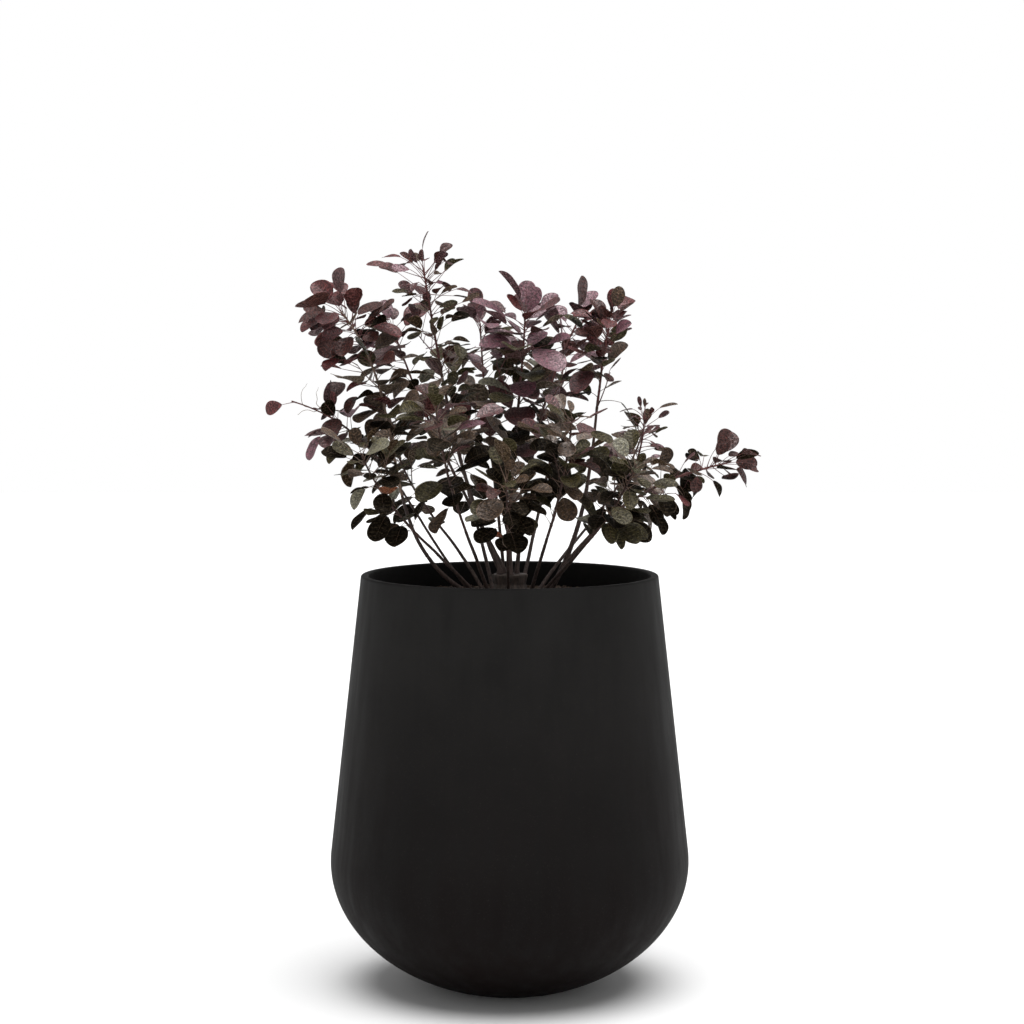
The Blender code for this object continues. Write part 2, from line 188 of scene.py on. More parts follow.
# The leaf at the end of a shoot: its place along the shoot, its size and its petiole as shares,
# and how far it dips
TIP_LEAF = (0.985, 0.62, 0.70, 0)
LONE_LEAVES = {"tallest": (0.998, 0.70, 0.50, -0.6), "low_left": (0.990, 0.90, 0.70, 0.45)}
LEAF_TRIES = 9
TRY_TURN = 0.8
TRY_RISE = 4
TRY_SHORTER = 0.04
TRY_PETIOLE = 0.07
SPACE_MARGIN = 0.001
LOWEST_FOLIAGE = 0.830
BOX_MARGIN = 0.001
VEINS = 6
VEIN_HALF_WIDTH = 0.00042
VEIN_CROWDING = 1.2
FIRST_ROW = 0.03
# Rows of a blade, counted in veins: the first vein, the row after it and the tip past the last
VEIN_ROW = 0.6
BETWEEN_ROW = 1.1
TIP_ROW = 0.25
BLADE_COLUMNS = (-1, -0.93, -0.74, -0.38, 0, 0.38, 0.74, 0.93, 1)
VEIN_COLUMNS = (2, 3, 4, 5)
MARGIN_COLUMNS = (0, 7)
BLADE_THICKNESS = 0.00045
MARGIN_THINNING = 0.6
BLADE_BLUNTNESS = 0.46
BLADE_BULGE = (1.16, 1.50)
FOLD_RANGE = (0.06, 0.42)
ARCH_RANGE = (-0.10, 0.30)
CURL = 0.25
CURL_CHANCE = 0.12
CUP_RANGE = (-0.25, 0.35)
RIPPLE_RANGE = (0.2, 1.0)
NOTCH_RANGE = (0, 0.045)
NOTCH_CHANCE = 0.5
VEIN_SLANT = 0.13
RIPPLE = 0.020
RIPPLE_WAVES = 9
RIPPLE_SHIFT = 1.6
PLEAT = 0.00100
PLEAT_FADE = 1.5
# The parts of a blade's skin, how rough each is, and its share of the tint's gloss
LEAF_SKINS = (("face", 0.36, 1.2), ("back", 0.60, 0.6), ("vein", 0.50, 1))
# Mottle of a leaf's skin: the range of its noise, its dark and pale patches as shares of the tint, and a
# grey added to the pale patches as painted sheen
MOTTLE_EDGES = (0.44, 0.60)
MOTTLE_DARK = 0.50
MOTTLE_LIGHT = 1.70
MOTTLE_SHEEN = 0.008
SEED = 11
# Where a leaf is tested against its neighbours: the petiole's half width, the midrib's depth, and
# places along the blade with its half width there as a share
STALK_HALF = 0.0006
RIB_DEPTH = 0.0012
TEST_ROWS = ((0.30, 0.44), (0.60, 0.50), (0.92, 0.30))
# Where a blade is tested against the sky, as shares along it and across it
SPOTS_ALONG = (0.08, 0.28, 0.48, 0.68, 0.88, 1)
SPOTS_ACROSS = (-0.46, -0.23, 0, 0.23, 0.46)

# Rings that the shoots stand on: the inner one on the stool, the outer one in the compost round it
INNER = 0.019
OUTER = 0.072

# One shoot: its foot on the inner or outer ring and the foot's bearing in degrees, the tip of its
# stem, how far it fans out at the foot and leans at the tip in degrees, the share of its length
# that is bare, and its radius at the foot
SHOOT_LINES = [
    ("rosette_left", OUTER, 188, (-0.308, -0.050, 1.256), 62, 40, 0.44, 0.0045),
    ("slant_left", INNER, 125, (-0.222, 0.100, 1.232), 30, 20, 0.36, 0.0040),
    ("tallest", INNER, 190, (-0.160, 0.010, 1.338), 24, 10, 0.38, 0.0048),
    ("inner_left", OUTER, 97, (-0.056, 0.125, 1.235), 6, 4, 0.40, 0.0040),
    ("centre", INNER, 275, (0.028, -0.060, 1.248), -6, 4, 0.38, 0.0048),
    ("inner_right", INNER, 45, (0.128, 0.110, 1.238), 8, 34, 0.40, 0.0042),
    ("upright_right", OUTER, 356, (0.184, -0.020, 1.236), 30, 12, 0.42, 0.0058),
    ("fine_right", OUTER, 20, (0.254, 0.085, 1.062), 40, 2, 0.50, 0.0030),
    ("arching_right", OUTER, 338, (0.394, -0.045, 0.978), 30, 78, 0.32, 0.0045),
    ("low_left", OUTER, 170, (-0.402, -0.020, 1.092), 40, 74, 0.58, 0.0030),
    ("back_left_low", OUTER, 134, (-0.225, 0.185, 1.015), 34, 20, 0.42, 0.0038),
    ("front_left", OUTER, 240, (-0.130, -0.240, 1.085), 34, 14, 0.40, 0.0040),
    ("front_right", OUTER, 300, (0.110, -0.240, 1.070), 34, 14, 0.40, 0.0040),
    ("back_left", OUTER, 116, (-0.120, 0.290, 1.140), 32, 12, 0.40, 0.0042),
    ("back_right", OUTER, 72, (0.105, 0.295, 1.160), 32, 12, 0.40, 0.0042),
    ("front_low", OUTER, 268, (-0.005, -0.290, 0.965), 44, 34, 0.38, 0.0035),
    ("front_left_low", OUTER, 214, (-0.265, -0.190, 1.005), 44, 26, 0.42, 0.0038),
    ("front_right_low", OUTER, 320, (0.225, -0.190, 0.985), 44, 26, 0.42, 0.0038),
    ("back_right_low", OUTER, 42, (0.260, 0.225, 1.030), 42, 24, 0.42, 0.0038),
]
# Its foliage: the leaves along it, the whorl round its tip, their length, their width as a share,
# how much longer than most their petioles are, its side twigs, the tints of its young leaves, and
# the seed of its chances
FOLIAGE = {
    "rosette_left": (54, 20, 0.062, 0.90, 1.35, 2, "wine", 11),
    "slant_left": (34, 9, 0.058, 0.72, 1.0, 1, "plum", 44),
    "tallest": (62, 15, 0.047, 0.62, 1.9, 2, "plum", 62),
    "inner_left": (28, 9, 0.064, 0.72, 1.1, 1, "mauve", 34),
    "centre": (40, 14, 0.070, 0.76, 1.1, 2, "mauve", 1),
    "inner_right": (28, 9, 0.060, 0.72, 1.0, 1, "plum", 21),
    "upright_right": (40, 19, 0.057, 0.72, 1.25, 1, "wine", 20),
    "fine_right": (30, 9, 0.031, 0.42, 1.6, 0, "plum", 32),
    "arching_right": (38, 8, 0.056, 0.72, 1.2, 1, "dark", 62),
    "low_left": (26, 0, 0.056, 0.72, 1.0, 0, "plum", 20),
    "back_left_low": (24, 4, 0.054, 0.72, 1.0, 1, "shaded", 32),
    "front_left": (30, 6, 0.058, 0.74, 1.0, 1, "brown", 51),
    "front_right": (36, 6, 0.056, 0.74, 1.0, 2, "brown", 32),
    "back_left": (26, 5, 0.058, 0.72, 1.0, 1, "brown", 45),
    "back_right": (22, 4, 0.058, 0.72, 1.0, 1, "plum", 41),
    "front_low": (36, 5, 0.053, 0.74, 1.0, 2, "shaded", 41),
    "front_left_low": (30, 5, 0.055, 0.74, 1.0, 1, "shaded", 50),
    "front_right_low": (36, 5, 0.053, 0.74, 1.0, 2, "middle", 22),
    "back_right_low": (20, 4, 0.050, 0.70, 1.0, 1, "brown", 31),
}
LINE_FIELDS = "name ring bearing tip fan lean bare radius "
FOLIAGE_FIELDS = "leaves whorl leaf_length leaf_width stalk twigs young seed"
Shoot = namedtuple("Shoot", LINE_FIELDS + FOLIAGE_FIELDS)
SHOOTS = [Shoot(*line, *FOLIAGE[line[0]]) for line in SHOOT_LINES]
# Open sky: where the crown lets it through to the front, as places across and up on the plane
# through the planter's axis, and how wide the gap is to each side
SKY = [
    (0.261, 1.143, 0.034), (0.275, 1.235, 0.036), (0.213, 1.154, 0.016), (0.176, 1.058, 0.014),
    (0.171, 1.097, 0.013), (0.163, 1.121, 0.012), (0.215, 1.112, 0.012), (0.130, 1.086, 0.010),
    (-0.241, 1.294, 0.017), (-0.265, 1.322, 0.015), (-0.145, 1.386, 0.012), (-0.174, 1.326, 0.009),
    (-0.147, 1.344, 0.008), (-0.075, 1.228, 0.012), (-0.119, 1.219, 0.010), (-0.156, 1.202, 0.008),
    (-0.371, 1.055, 0.011), (-0.286, 1.151, 0.010), (-0.168, 0.955, 0.010), (-0.096, 0.981, 0.008),
    (0.369, 0.919, 0.014), (0.410, 0.927, 0.010), (0.251, 1.005, 0.008), (0.330, 1.031, 0.018),
    (0.238, 1.212, 0.016), (-0.321, 0.968, 0.010), (-0.036, 1.292, 0.010), (-0.082, 1.326, 0.012),
    (-0.174, 1.382, 0.010), (-0.374, 1.148, 0.012), (0.299, 1.026, 0.017), (0.232, 1.186, 0.013),
]
# Where the leaves begin and end, as shares of the leafy length, on the shoots that are barer
SPANS = {"low_left": (0.02, 0.70), "upright_right": (0.42, 0.985), "front_left": (0.16, 0.985)}

# Dead twigs: the shoot and the share of its length that each stands on, and its tip
DEAD_TWIGS = [
    ("upright_right", 0.50, (0.076, -0.110, 1.070)),
    ("low_left", 0.93, (-0.372, -0.030, 1.125)),
    ("low_left", 0.90, (-0.392, 0.000, 1.066)),
    ("low_left", 0.86, (-0.350, -0.050, 1.118)),
    ("front_left_low", 0.60, (-0.230, -0.150, 1.030)),
    ("front_left", 0.40, (-0.120, -0.120, 0.990)),
    ("front_right", 0.42, (0.090, -0.110, 0.960)),
]

# Tints of the leaves: the colour of the face, of the back and of the veins, and the face's gloss
TINTS = {
    "wine": ((0.068, 0.0095, 0.0095), (0.060, 0.015, 0.012), (0.140, 0.036, 0.034), 0.40),
    "claret": ((0.035, 0.0065, 0.0042), (0.044, 0.013, 0.009), (0.086, 0.026, 0.019), 0.34),
    "plum": ((0.056, 0.0145, 0.0155), (0.050, 0.020, 0.017), (0.126, 0.048, 0.048), 0.50),
    "mauve": ((0.112, 0.036, 0.052), (0.074, 0.034, 0.036), (0.190, 0.092, 0.104), 0.75),
    "dusk": ((0.076, 0.044, 0.026), (0.056, 0.038, 0.020), (0.165, 0.115, 0.082), 0.70),
    "umber": ((0.032, 0.0155, 0.0056), (0.036, 0.021, 0.008), (0.105, 0.066, 0.040), 0.24),
    "olive": ((0.027, 0.0205, 0.0044), (0.034, 0.028, 0.0090), (0.094, 0.080, 0.042), 0.20),
    "black": ((0.0062, 0.0036, 0.0010), (0.009, 0.0056, 0.0019), (0.040, 0.029, 0.016), 0.03),
    "sage": ((0.098, 0.088, 0.050), (0.080, 0.074, 0.042), (0.190, 0.176, 0.120), 0.75),
    "rust": ((0.160, 0.038, 0.010), (0.150, 0.048, 0.018), (0.220, 0.082, 0.038), 0.36),
}
# Sprays of tints dealt out to the leaves, with their weights. The near-black of the shaded and deep sprays
# goes to the young leaves of the low shoots and to old leaves low down. It is partly the old leaves' own
# dark colour and partly painted shade.
SPRAYS = {
    "wine": (("wine", 6), ("claret", 6), ("plum", 3), ("mauve", 1), ("umber", 1)),
    "dark": (("claret", 7), ("plum", 4), ("black", 2), ("wine", 2)),
    "plum": (("plum", 5), ("claret", 4), ("mauve", 4), ("umber", 2), ("wine", 2)),
    "mauve": (("mauve", 10), ("plum", 5), ("claret", 1), ("wine", 1), ("dusk", 1)),
    "brown": (("umber", 5), ("dusk", 5), ("olive", 3), ("plum", 3), ("claret", 2), ("mauve", 1)),
    "middle": (("umber", 5), ("olive", 6), ("dusk", 6), ("black", 3), ("plum", 2), ("sage", 1)),
    "shaded": (("black", 6), ("olive", 7), ("umber", 4), ("dusk", 1.5), ("claret", 0.5), ("sage", 0.7)),
    "deep": (("black", 11), ("olive", 5), ("umber", 2), ("sage", 0.6), ("dusk", 0.4), ("rust", 0.2)),
}
# Shoots with these tints have red young stems and petioles
RED_YOUNG = ("wine", "dark", "plum", "mauve")
PALE_STEMS = ("rosette_left",)
# The ranks over which leaves turn from old tints to young ones, and the heights under which old leaves take
# the near-black deep tints, which are partly painted shade low in the crown
SHADE_RANK = (0.35, 0.90)
DEEP_HEIGHTS = (0.92, 1.08)

# The vector noise starts from the time of day unless it has a seed
noise.seed_set(SEED)

SOIL_TOP = POT_HEIGHT - SOIL_DROP
UP = Vector((0, 0, 1))


# Materials


def new_material(name, colour, roughness):
    """A material with a plain colour, and its node tree and shader for what follows."""
    material = bpy.data.materials.new(name)
    material.use_nodes = True
    tree = material.node_tree
    shader = tree.nodes["Principled BSDF"]
    shader.inputs["Base Color"].default_value = (*colour, 1)
    shader.inputs["Roughness"].default_value = roughness
    return material, tree, shader


def add_node(tree, kind, **values):
    """A node with some of its inputs set. An underscore in an input's name stands for a space."""
    node = tree.nodes.new("ShaderNode" + kind)
    for name, value in values.items():
        node.inputs[name.replace("_", " ")].default_value = value
    return node


def object_place(tree, scale=(1, 1, 1)):
    """The place on the object in metres, stretched by a scale."""
    place = add_node(tree, "TexCoord")
    mapping = add_node(tree, "Mapping", Scale=scale)
    tree.links.new(place.outputs["Object"], mapping.inputs["Vector"])
    return mapping.outputs["Vector"]


def noise_value(tree, place, scale, detail=3.0, roughness=0.5):
    pattern = add_node(tree, "TexNoise", Scale=scale, Detail=detail, Roughness=roughness)
    tree.links.new(place, pattern.inputs["Vector"])
    return pattern.outputs["Fac"]


def mapped(tree, value, low, high, to_low, to_high):
    """A value's range from low to high turned into another range."""
    node = add_node(tree, "MapRange", From_Min=low, From_Max=high, To_Min=to_low, To_Max=to_high)
    tree.links.new(value, node.inputs["Value"])
    return node.outputs["Result"]


def mixed_colour(tree, value, low, high, first, second, most=1):
    """One colour that turns into another, or most of the way, as a value goes from low to high."""
    share = mapped(tree, value, low, high, 0, most)
    node = add_node(tree, "Mix")
    node.data_type = "RGBA"
    tree.links.new(share, node.inputs["Factor"])
    for socket, colour in (("A", first), ("B", second)):
        target = [s for s in node.inputs if s.name == socket and s.type == "RGBA"][0]
        if isinstance(colour, tuple):
            target.default_value = (*colour, 1)
        else:
            tree.links.new(colour, target)
    return [s for s in node.outputs if s.type == "RGBA"][0]


def add_bump(tree, shader, height, strength, distance):
    bump = add_node(tree, "Bump", Strength=strength, Distance=distance)
    tree.links.new(height, bump.inputs["Height"])
    tree.links.new(bump.outputs["Normal"], shader.inputs["Normal"])


def leaf_material(name, colour, roughness, gloss):
    """A leaf's skin: one tint mottled darker and paler, with painted sheen on the pale patches, crinkled
    between small veins, with glints where it is smooth.
    """
    material, tree, shader = new_material(name, colour, roughness)
    shader.inputs["Specular IOR Level"].default_value = gloss
    place = object_place(tree)
    net = add_node(tree, "TexVoronoi", Scale=330)
    net.feature = "DISTANCE_TO_EDGE"
    tree.links.new(place, net.inputs["Vector"])
    mottle = noise_value(tree, place, 260, 3.0, 0.6)
    dark = tuple(MOTTLE_DARK * value for value in colour)
    # The pale patches carry painted sheen: a grey added on top of the tint
    light = tuple(MOTTLE_LIGHT * value + MOTTLE_SHEEN for value in colour)
    body = mixed_colour(tree, mottle, *MOTTLE_EDGES, dark, light)
    tree.links.new(body, shader.inputs["Base Color"])
    rough = mapped(tree, mottle, *MOTTLE_EDGES, roughness + 0.34, roughness - 0.10)
    tree.links.new(rough, shader.inputs["Roughness"])
    add_bump(tree, shader, net.outputs["Distance"], 0.8, 0.0010)
    return material


def stalk_material(name, colour):
    material, tree, shader = new_material(name, colour, 0.45)
    place = object_place(tree)
    rough = mapped(tree, noise_value(tree, place, 300), 0.3, 0.7, 0.38, 0.58)
    tree.links.new(rough, shader.inputs["Roughness"])
    add_bump(tree, shader, noise_value(tree, place, 900, 2.0), 0.3, 0.0002)
    return material


def bark_material(name, dark, light, grain):
    """Bark with a grain along the stem, pale flecks and a rough relief."""
    material, tree, shader = new_material(name, dark, 0.8)
    place = object_place(tree, (1, 1, 0.22))
    streaks = noise_value(tree, place, grain, 5.0, 0.65)
    flecks = noise_value(tree, object_place(tree), grain * 1.6, 2.0)
    colour = mixed_colour(tree, streaks, 0.35, 0.68, dark, light)
    pale = tuple(min(1, 2.2 * value + 0.02) for value in light)
    colour = mixed_colour(tree, flecks, 0.68, 0.76, colour, pale, 0.6)
    tree.links.new(colour, shader.inputs["Base Color"])
    tree.links.new(mapped(tree, streaks, 0.3, 0.7, 0.9, 0.62), shader.inputs["Roughness"])
    add_bump(tree, shader, streaks, 0.6, 0.0008)
    return material


def pot_material():
    """Near black, with painted shade low down that is a little warmer, painted light towards the lip, and
    faint streaks and specks.
    """
    material, tree, shader = new_material("anthracite", (0.003, 0.003, 0.003), 0.62)
    shader.inputs["Specular IOR Level"].default_value = 0.07
    place = object_place(tree)
    height = add_node(tree, "SeparateXYZ")
    tree.links.new(place, height.inputs["Vector"])
    rise = height.outputs["Z"]
    # Painted shade and painted light: darker and warmer towards the foot, paler towards the lip
    body = mixed_colour(tree, rise, 0.02, 0.30, (0.0028, 0.0005, 0.0003), (0.0066, 0.0055, 0.0053))
    body = mixed_colour(tree, rise, 0.35, 0.74, body, (0.0128, 0.0122, 0.0118))
    streaks = noise_value(tree, object_place(tree, (1, 1, 0.10)), 34, 5.0, 0.6)
    body = mixed_colour(tree, streaks, 0.45, 0.75, body, (0.0052, 0.0049, 0.0048), 0.5)
    cloud = noise_value(tree, place, 7, 3.0)
    body = mixed_colour(tree, cloud, 0.35, 0.75, body, (0.0025, 0.0024, 0.0024), 0.35)
    specks = noise_value(tree, place, 420, 1.0)
    body = mixed_colour(tree, specks, 0.66, 0.76, body, (0.019, 0.017, 0.015), 0.6)
    tree.links.new(body, shader.inputs["Base Color"])
    rough = mapped(tree, streaks, 0.3, 0.7, 0.72, 0.56)
    tree.links.new(rough, shader.inputs["Roughness"])
    grit = noise_value(tree, place, 650, 4.0, 0.7)
    add_bump(tree, shader, grit, 0.22, 0.0006)
    return material


def compost_material(name, dark, light, scale):
    material, tree, shader = new_material(name, dark, 0.92)
    place = object_place(tree)
    grains = noise_value(tree, place, scale, 6.0, 0.7)
    colour = mixed_colour(tree, grains, 0.35, 0.70, dark, light)
    tree.links.new(colour, shader.inputs["Base Color"])
    tree.links.new(mapped(tree, grains, 0.3, 0.7, 0.98, 0.80), shader.inputs["Roughness"])
    add_bump(tree, shader, grains, 0.8, 0.002)
    return material


# Meshes


def add_object(name, data):
    thing = bpy.data.objects.new(name, data)
    bpy.context.scene.collection.objects.link(thing)
    return thing


def add_piece(name, points, faces, materials, slot, nodes=(), face_slots=None, smooth=True):
    """A finished piece: its mesh and materials, what it rides on and what it stands for."""
    mesh = bpy.data.meshes.new(name)
    mesh.from_pydata([tuple(point) for point in points], [], [tuple(face) for face in faces])
    for material in materials:
        mesh.materials.append(material)
    if face_slots is not None:
        mesh.polygons.foreach_set("material_index", face_slots)
    if smooth:
        mesh.shade_smooth()
    piece = add_object(name, mesh)
    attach(piece, "root")
    if nodes:
        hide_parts(*nodes)


class Heap:
    """Points and faces of many small solids that end up in one mesh."""

    def __init__(self):
        self.points = []
        self.faces = []
        self.slots = []
        self.count = 0

    def add(self, points, faces, slots=None):
        self.points.append(np.asarray(points))
        self.faces += [tuple(corner + self.count for corner in face) for face in faces]
        self.slots += slots if slots is not None else [0] * len(faces)
        self.count += len(points)

    def piece(self, name, materials, slot, nodes=(), smooth=True):
        points = np.concatenate(self.points)
        add_piece(name, points, self.faces, materials, slot, nodes, self.slots, smooth)


def turned_mesh(profile, sides):
    """Points and faces of a profile turned about the upright axis."""
    points = []
    rings = []
    for radius, height in profile:
        if radius < 1e-9:
            rings.append([len(points)])
            points.append((0, 0, height))
            continue
        rings.append(list(range(len(points), len(points) + sides)))
        angles = [2 * math.pi * i / sides for i in range(sides)]
        points += [(radius * math.cos(a), radius * math.sin(a), height) for a in angles]
    faces = []
    for upper, lower in zip(rings, rings[1:]):
        for i in range(sides):
            j = (i + 1) % sides
            if len(upper) == 1:
                faces.append((upper[0], lower[i], lower[j]))
            elif len(lower) == 1:
                faces.append((upper[j], upper[i], lower[0]))
            else:
                faces.append((upper[i], lower[i], lower[j], upper[j]))
    return points, faces


def tube_mesh(points, radii, sides, relief=None):
    """A capped tube along points. A relief moves each corner in or out by a share of the radius."""
    points = np.asarray(points, float)
    ahead = np.gradient(points, axis=0)
    ahead /= np.linalg.norm(ahead, axis=1)[:, None]
    across = np.cross(ahead[0], ASIDE)
    angles = 2 * np.pi * np.arange(sides) / sides
    rings = []
    for point, direction, radius in zip(points, ahead, radii):
        across = across - direction * (across @ direction)
        across /= np.linalg.norm(across)
        along = np.cross(direction, across)
        ring = np.cos(angles)[:, None] * across + np.sin(angles)[:, None] * along
        reach = np.full(sides, radius)
        if relief is not None:
            reach = reach * np.array([1 + relief(point + spoke * radius) for spoke in ring])
        rings.append(point + ring * reach[:, None])
    faces = []
    for row in range(len(points) - 1):
        for i in range(sides):
            j = (i + 1) % sides
            a, b = row * sides, (row + 1) * sides
            faces.append((a + i, a + j, b + j, b + i))
    last = (len(points) - 1) * sides
    faces.append(tuple(range(sides))[::-1])
    faces.append(tuple(last + i for i in range(sides)))
    return np.concatenate(rings), faces


# Planter and compost


def foot_height():
    return BOWL_HALF_HEIGHT * (1 - math.sqrt(1 - (FOOT_RADIUS / BELLY_RADIUS) ** 2))


def belly_arc(inset, steps):
    """Radius and height from the straight side to the foot, along an ellipse, moved in by inset."""
    tangent = math.pi / 2 + math.atan(SIDE_TAPER * BOWL_HALF_HEIGHT / BELLY_RADIUS)
    foot = math.asin(FOOT_RADIUS / BELLY_RADIUS)
    points = []
    for step in range(steps + 1):
        angle = tangent + (foot - tangent) * step / steps
        radius = BELLY_RADIUS * math.sin(angle)
        height = BOWL_HALF_HEIGHT * (1 - math.cos(angle)) - foot_height()
        normal = Vector((math.sin(angle) / BELLY_RADIUS, -math.cos(angle) / BOWL_HALF_HEIGHT)).normalized()
        points.append((radius - inset * normal.x, height - inset * normal.y))
    return points


def side_radius(height, inset):
    """Radius of the straight side at a height above the belly."""
    radius, start = belly_arc(inset, 1)[0]
    return radius - SIDE_TAPER * (height - start)


def side_line(inset, upward):
    """The straight side from the belly to the lip, in even steps."""
    start = belly_arc(inset, 1)[0][1]
    shoulder = POT_HEIGHT - LIP_ROUNDING
    heights = [start + (shoulder - start) * step / SIDE_STEPS for step in range(1, SIDE_STEPS)]
    line = [(side_radius(height, inset), height) for height in heights]
    return line if upward else line[::-1]


def lip_arc(inset, outward):
    """A rounded edge of the lip, from its shoulder to its top."""
    shoulder = POT_HEIGHT - LIP_ROUNDING
    edge = side_radius(shoulder, inset)
    points = []
    for step in range(LIP_STEPS + 1):
        angle = math.pi / 2 * step / LIP_STEPS
        reach = LIP_ROUNDING * (1 - math.cos(angle))
        points.append((edge - reach * outward, shoulder + LIP_ROUNDING * math.sin(angle)))
    return points


def make_pot():
    outer = belly_arc(0, ARC_STEPS)
    inner = belly_arc(POT_WALL, ARC_STEPS)
    profile = [(0, inner[-1][1])] + inner[::-1] + side_line(POT_WALL, True) + lip_arc(POT_WALL, -1)
    profile += lip_arc(0, 1)[::-1] + side_line(0, False) + outer + [(0, 0)]
    points, faces = turned_mesh(profile, POT_SIDES)
    add_piece("planter", points, faces, [pot_material()], "pot", ["pot"])


def soil_height(x, y):
    """The lumpy surface of the compost, a little higher round the stool."""
    radius = math.hypot(x, y)
    lumps = noise.noise(Vector((x * LUMP_GRAIN, y * LUMP_GRAIN, 0.3)))
    lumps += 0.5 * noise.noise(Vector((x * CRUMB_GRAIN, y * CRUMB_GRAIN, 4.1)))
    mound = MOUND_HEIGHT * math.exp(-(radius / MOUND_RADIUS) ** 2)
    return SOIL_TOP + SOIL_LUMPS * 0.5 * (lumps - 1.2) + mound


def make_soil():
    """A closed body of compost with a lumpy top, and loose chips of bark that lie on it."""
    edge = side_radius(SOIL_TOP, POT_WALL) - SOIL_GAP
    profile = [(0, SOIL_TOP)]
    for ring in range(1, SOIL_RINGS + 1):
        profile.append((edge * (ring / SOIL_RINGS) ** RING_CROWDING, SOIL_TOP))
    profile += [(edge - SOIL_GAP, SOIL_TOP - SOIL_DEPTH), (0, SOIL_TOP - SOIL_DEPTH)]
    points, faces = turned_mesh(profile, SOIL_SIDES)
    lumpy = [(x, y, soil_height(x, y) if z == SOIL_TOP else z) for x, y, z in points]
    dark = compost_material("compost", (0.010, 0.007, 0.005), (0.036, 0.024, 0.016), 420)
    add_piece("compost", lumpy, faces, [dark], "soil", ["soil"])
    chance = random.Random(SEED)
    chips = Heap()
    for _ in range(CHIPS):
        reach = edge * math.sqrt(chance.uniform(*CHIP_SPREAD))
        bearing = chance.uniform(0, 2 * math.pi)
        x, y = reach * math.cos(bearing), reach * math.sin(bearing)
        size = chance.uniform(*CHIP_LENGTHS)
        turn = Matrix.Rotation(chance.uniform(0, 2 * math.pi), 3, "Z")
        for axis in ("X", "Y"):
            turn = turn @ Matrix.Rotation(chance.uniform(-CHIP_TILT, CHIP_TILT), 3, axis)
        shares = (1, chance.uniform(*CHIP_WIDTHS), chance.uniform(*CHIP_DEPTHS))
        half = Vector([size * share for share in shares]) * 0.5
        centre = Vector((x, y, soil_height(x, y) + half.z * CHIP_REST))
        points, faces = chip_mesh(half, chance)
        chips.add([centre + turn @ point for point in points], faces)
    bark = compost_material("chip", (0.020, 0.012, 0.008), (0.085, 0.052, 0.032), 160)
    chips.piece("bark_chips", [bark], "soil", smooth=False)


def chip_mesh(half, chance):
    """A splinter of bark: a box with ragged ends."""
    points = []
    for sx in (-1, 1):
        for sy in (-1, 1):
            for sz in (-1, 1):
                rag = Vector([chance.uniform(*CHIP_RAGS) for _ in range(3)])
                points.append(Vector((sx * half.x * rag.x, sy * half.y * rag.y, sz * half.z * rag.z)))
    faces = [(0, 1, 3, 2), (4, 6, 7, 5), (0, 4, 5, 1), (2, 3, 7, 6), (0, 2, 6, 4), (1, 5, 7, 3)]
    return points, faces


# Lines of the shoots


def heading(bearing):
    return Vector((math.cos(bearing), math.sin(bearing), 0))


def shoot_foot(shoot):
    ground = SOIL_TOP if shoot.ring == OUTER else SOIL_TOP + GAP + STOOL_HEIGHT
    return heading(math.radians(shoot.bearing)) * shoot.ring + UP * (ground + GAP)


def leaning(outward, degrees):
    return outward * math.sin(math.radians(degrees)) + UP * math.cos(math.radians(degrees))


def sway(point, grain, shift):
    """A push to one side that changes gently from place to place."""
    return noise.noise_vector(point * grain + Vector((shift, 0, 0)))


def shoot_line(shoot, index):
    """A short upright stub, then a curve that fans out and leans at its tip."""
    foot = shoot_foot(shoot)
    tip = Vector(shoot.tip)
    outward = (tip - foot) * Vector((1, 1, 0))
    outward.normalize()
    start = foot + UP * STUB_LENGTH
    handle = (tip - start).length * HANDLE_SHARE
    first = start + leaning(outward, shoot.fan) * handle
    second = tip - leaning(outward, shoot.lean) * handle
    line = [foot.lerp(start, step / FINE) for step in range(FINE)]
    steps = (COARSE_STEPS - 1) * FINE
    for step in range(steps + 1):
        t = step / steps
        s = 1 - t
        point = s**3 * start + 3 * s * s * t * first + 3 * s * t * t * second + t**3 * tip
        push = sway(point, WOBBLE_GRAIN, index * WOBBLE_SHIFT) * WOBBLE
        line.append(point + push * math.sin(math.pi * t))
    return line


def point_on(line, share):
    """The point and direction at a share of the line's steps."""
    place = share * (len(line) - 1)
    index = min(int(place), len(line) - 2)
    step = line[index + 1] - line[index]
    return line[index] + step * (place - index), step.normalized()


def shoot_radius(shoot, share):
    """A shoot's radius: an even taper, with a small flare at its foot."""
    taper = shoot.radius + (TIP_RADIUS - shoot.radius) * share**TAPER_POWER
    height = share * (Vector(shoot.tip) - shoot_foot(shoot)).length
    flare = FLARE_SHARE * shoot.radius * max(0, 1 - height / FLARE_LENGTH) ** 2
    return taper + flare


def cut_share(shoot):
    """Where the bough ends and the leafy stem begins."""
    return (math.floor(shoot.bare * COARSE_STEPS) + 0.5) / COARSE_STEPS


# Foliage

Leaf = namedtuple("Leaf", "root neck aim blade side face length width rank tint shape")


def blade_spot(leaf, y, x, lift=0.0):
    """The point at a share of a blade's length, a distance from its midrib and a lift off its face."""
    _, fold, arch, cup, _, _, _ = leaf.shape
    height = fold * abs(x) + cup * x * x / leaf.width - arch * leaf.length * y * y + lift
    return leaf.neck + leaf.blade * (y * leaf.length) + leaf.side * x + leaf.face * height


def leaf_rings(leaf):
    """A rough outline of a leaf and its long petiole, for tests."""
    rings = []
    out = leaf.side * STALK_HALF
    for point, axis in ((leaf.root.lerp(leaf.neck, 0.15), leaf.aim), (leaf.neck, leaf.blade)):
        over = leaf.side.cross(axis).normalized() * STALK_HALF
        rings.append([point + out + over * 0.5, point - over, point - out + over * 0.5])
    for share, half in TEST_ROWS:
        reach = leaf.width * half
        spots = ((reach, 0), (0, -RIB_DEPTH), (-reach, 0))
        rings.append([blade_spot(leaf, share, side, lift) for side, lift in spots])
    return rings, blade_spot(leaf, 1, 0)


